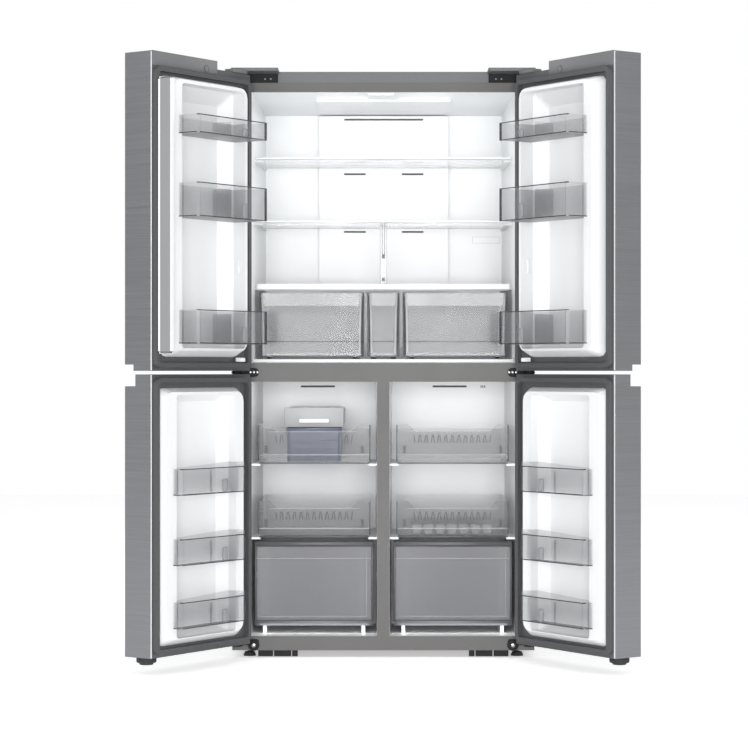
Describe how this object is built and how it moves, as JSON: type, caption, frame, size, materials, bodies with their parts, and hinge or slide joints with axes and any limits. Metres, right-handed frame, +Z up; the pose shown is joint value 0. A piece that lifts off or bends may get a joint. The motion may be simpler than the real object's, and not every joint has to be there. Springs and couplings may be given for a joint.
{
  "type": "french door refrigerator",
  "caption": "Tall steel refrigerator with its doors open: shelves and crispers above, two freezer compartments with pull-out boxes below, clear bins on every door.",
  "frame": {"origin": "on the floor under the middle of the object's box with its doors open", "axes": "+X to the right seen from the front, +Y from the front into the cabinet, +Z up"},
  "size_m": [1.4742, 1.0743, 1.773],
  "materials": {
    "brushed_steel": "satin",
    "grey_enamel": "satin",
    "white_liner": "gloss",
    "gasket": "matte",
    "clear_plastic": "gloss",
    "crisper_plastic": "gloss",
    "freezer_plastic": "gloss",
    "ice_box_plastic": "gloss",
    "shelf_glass": "gloss",
    "foam": "matte",
    "grey_plastic": "satin",
    "black_parts": "satin",
    "roller_plastic": "matte",
    "lamp_lens": "satin"
  },
  "bodies": {
    "cabinet": {"outer_case": "grey_enamel", "front_frame": "grey_enamel", "insulation_foam": "foam", "fridge_liner": "white_liner", "freezer_liner_left": "white_liner", "freezer_liner_right": "white_liner", "top_cover": "grey_plastic", "base_frame": "black_parts", "compressor": "black_parts", "top_hinge_left": "black_parts", "middle_hinge_left": "black_parts", "bottom_hinge_left": "black_parts", "top_hinge_right": "black_parts", "middle_hinge_right": "black_parts", "bottom_hinge_right": "black_parts", "crisper_cover": "shelf_glass", "duct_cover": "white_liner", "light_bar": "lamp_lens", "ice_maker": "white_liner"},
    "upper_door_left": {"upper_door_left_panel": "brushed_steel", "upper_door_left_liner": "white_liner", "upper_door_left_gasket": "gasket"},
    "upper_door_left_bin_top": {"upper_door_left_bin_top": "clear_plastic"},
    "upper_door_left_bin_middle": {"upper_door_left_bin_middle": "clear_plastic"},
    "upper_door_left_bin_bottom": {"upper_door_left_bin_bottom": "clear_plastic"},
    "upper_door_right": {"upper_door_right_panel": "brushed_steel", "upper_door_right_liner": "white_liner", "upper_door_right_gasket": "gasket"},
    "upper_door_right_bin_top": {"upper_door_right_bin_top": "clear_plastic"},
    "upper_door_right_bin_middle": {"upper_door_right_bin_middle": "clear_plastic"},
    "upper_door_right_bin_bottom": {"upper_door_right_bin_bottom": "clear_plastic"},
    "lower_door_left": {"lower_door_left_panel": "brushed_steel", "lower_door_left_liner": "white_liner", "lower_door_left_gasket": "gasket"},
    "lower_door_left_bin_top": {"lower_door_left_bin_top": "clear_plastic"},
    "lower_door_left_bin_middle": {"lower_door_left_bin_middle": "clear_plastic"},
    "lower_door_left_bin_bottom": {"lower_door_left_bin_bottom": "clear_plastic"},
    "lower_door_right": {"lower_door_right_panel": "brushed_steel", "lower_door_right_liner": "white_liner", "lower_door_right_gasket": "gasket"},
    "lower_door_right_bin_top": {"lower_door_right_bin_top": "clear_plastic"},
    "lower_door_right_bin_middle": {"lower_door_right_bin_middle": "clear_plastic"},
    "lower_door_right_bin_bottom": {"lower_door_right_bin_bottom": "clear_plastic"},
    "mullion_flipper": {"mullion_flipper": "grey_enamel"},
    "shelf_upper": {"shelf_upper": "shelf_glass"},
    "shelf_middle_left": {"shelf_middle_left": "shelf_glass"},
    "shelf_middle_right": {"shelf_middle_right": "shelf_glass"},
    "crisper_left": {"crisper_left": "crisper_plastic"},
    "crisper_middle": {"crisper_middle": "crisper_plastic"},
    "crisper_right": {"crisper_right": "crisper_plastic"},
    "freezer_tray_upper_left": {"freezer_tray_upper_left": "freezer_plastic"},
    "freezer_tray_middle_left": {"freezer_tray_middle_left": "freezer_plastic"},
    "freezer_drawer_left": {"freezer_drawer_left": "freezer_plastic"},
    "freezer_tray_upper_right": {"freezer_tray_upper_right": "freezer_plastic"},
    "freezer_tray_middle_right": {"freezer_tray_middle_right": "freezer_plastic"},
    "freezer_drawer_right": {"freezer_drawer_right": "freezer_plastic"},
    "ice_box": {"ice_box": "ice_box_plastic"},
    "levelling_foot_left": {"levelling_foot_left": "black_parts"},
    "levelling_foot_right": {"levelling_foot_right": "black_parts"},
    "rear_rollers": {"rear_rollers": "roller_plastic"}
  },
  "joints": [
    {"name": "upper_door_left_hinge", "type": "hinge", "parent": "cabinet", "child": "upper_door_left", "pos_m": [-0.438, -0.12976, 0.9], "axis": [0, 0, -1], "range_deg": [-124.7, 10]},
    {"name": "upper_door_left_bin_top_lift", "type": "slide", "parent": "upper_door_left", "child": "upper_door_left_bin_top", "axis": [0, 0, 1], "range_m": [0, 0.03]},
    {"name": "upper_door_left_bin_middle_lift", "type": "slide", "parent": "upper_door_left", "child": "upper_door_left_bin_middle", "axis": [0, 0, 1], "range_m": [0, 0.03]},
    {"name": "upper_door_left_bin_bottom_lift", "type": "slide", "parent": "upper_door_left", "child": "upper_door_left_bin_bottom", "axis": [0, 0, 1], "range_m": [0, 0.03]},
    {"name": "upper_door_right_hinge", "type": "hinge", "parent": "cabinet", "child": "upper_door_right", "pos_m": [0.438, -0.12976, 0.9], "axis": [0, 0, 1], "range_deg": [-124.7, 10]},
    {"name": "upper_door_right_bin_top_lift", "type": "slide", "parent": "upper_door_right", "child": "upper_door_right_bin_top", "axis": [0, 0, 1], "range_m": [0, 0.03]},
    {"name": "upper_door_right_bin_middle_lift", "type": "slide", "parent": "upper_door_right", "child": "upper_door_right_bin_middle", "axis": [0, 0, 1], "range_m": [0, 0.03]},
    {"name": "upper_door_right_bin_bottom_lift", "type": "slide", "parent": "upper_door_right", "child": "upper_door_right_bin_bottom", "axis": [0, 0, 1], "range_m": [0, 0.03]},
    {"name": "lower_door_left_hinge", "type": "hinge", "parent": "cabinet", "child": "lower_door_left", "pos_m": [-0.438, -0.12976, 0.1], "axis": [0, 0, -1], "range_deg": [-124.7, 10]},
    {"name": "lower_door_left_bin_top_lift", "type": "slide", "parent": "lower_door_left", "child": "lower_door_left_bin_top", "axis": [0, 0, 1], "range_m": [0, 0.03]},
    {"name": "lower_door_left_bin_middle_lift", "type": "slide", "parent": "lower_door_left", "child": "lower_door_left_bin_middle", "axis": [0, 0, 1], "range_m": [0, 0.03]},
    {"name": "lower_door_left_bin_bottom_lift", "type": "slide", "parent": "lower_door_left", "child": "lower_door_left_bin_bottom", "axis": [0, 0, 1], "range_m": [0, 0.03]},
    {"name": "lower_door_right_hinge", "type": "hinge", "parent": "cabinet", "child": "lower_door_right", "pos_m": [0.438, -0.12976, 0.1], "axis": [0, 0, 1], "range_deg": [-124.7, 10]},
    {"name": "lower_door_right_bin_top_lift", "type": "slide", "parent": "lower_door_right", "child": "lower_door_right_bin_top", "axis": [0, 0, 1], "range_m": [0, 0.03]},
    {"name": "lower_door_right_bin_middle_lift", "type": "slide", "parent": "lower_door_right", "child": "lower_door_right_bin_middle", "axis": [0, 0, 1], "range_m": [0, 0.03]},
    {"name": "lower_door_right_bin_bottom_lift", "type": "slide", "parent": "lower_door_right", "child": "lower_door_right_bin_bottom", "axis": [0, 0, 1], "range_m": [0, 0.03]},
    {"name": "mullion_flipper_fold", "type": "hinge", "parent": "upper_door_left", "child": "mullion_flipper", "pos_m": [-0.62334, -0.50985, 1.3], "axis": [0, 0, 1], "range_deg": [-90, 0]},
    {"name": "shelf_upper_pull", "type": "slide", "parent": "cabinet", "child": "shelf_upper", "axis": [0, -1, 0], "range_m": [0, 0.1]},
    {"name": "shelf_middle_left_pull", "type": "slide", "parent": "cabinet", "child": "shelf_middle_left", "axis": [0, -1, 0], "range_m": [0, 0.1]},
    {"name": "shelf_middle_right_pull", "type": "slide", "parent": "cabinet", "child": "shelf_middle_right", "axis": [0, -1, 0], "range_m": [0, 0.1]},
    {"name": "crisper_left_pull", "type": "slide", "parent": "cabinet", "child": "crisper_left", "axis": [0, -1, 0], "range_m": [0, 0.23]},
    {"name": "crisper_middle_pull", "type": "slide", "parent": "cabinet", "child": "crisper_middle", "axis": [0, -1, 0], "range_m": [0, 0.23]},
    {"name": "crisper_right_pull", "type": "slide", "parent": "cabinet", "child": "crisper_right", "axis": [0, -1, 0], "range_m": [0, 0.23]},
    {"name": "freezer_tray_upper_left_pull", "type": "slide", "parent": "cabinet", "child": "freezer_tray_upper_left", "axis": [0, -1, 0], "range_m": [0, 0.3]},
    {"name": "freezer_tray_middle_left_pull", "type": "slide", "parent": "cabinet", "child": "freezer_tray_middle_left", "axis": [0, -1, 0], "range_m": [0, 0.3]},
    {"name": "freezer_drawer_left_pull", "type": "slide", "parent": "cabinet", "child": "freezer_drawer_left", "axis": [0, -1, 0], "range_m": [0, 0.3]},
    {"name": "freezer_tray_upper_right_pull", "type": "slide", "parent": "cabinet", "child": "freezer_tray_upper_right", "axis": [0, -1, 0], "range_m": [0, 0.3]},
    {"name": "freezer_tray_middle_right_pull", "type": "slide", "parent": "cabinet", "child": "freezer_tray_middle_right", "axis": [0, -1, 0], "range_m": [0, 0.3]},
    {"name": "freezer_drawer_right_pull", "type": "slide", "parent": "cabinet", "child": "freezer_drawer_right", "axis": [0, -1, 0], "range_m": [0, 0.3]},
    {"name": "ice_box_pull", "type": "slide", "parent": "freezer_tray_upper_left", "child": "ice_box", "axis": [0, -1, 0], "range_m": [0, 0.08]},
    {"name": "levelling_foot_left_turn", "type": "hinge", "parent": "cabinet", "child": "levelling_foot_left", "pos_m": [-0.406, -0.02526, 0.01], "axis": [0, 0, 1], "continuous": true},
    {"name": "levelling_foot_right_turn", "type": "hinge", "parent": "cabinet", "child": "levelling_foot_right", "pos_m": [0.406, -0.02526, 0.01], "axis": [0, 0, 1], "continuous": true},
    {"name": "rear_rollers_roll", "type": "hinge", "parent": "cabinet", "child": "rear_rollers", "pos_m": [0, 0.48474, 0.0145], "axis": [1, 0, 0], "continuous": true}
  ]
}
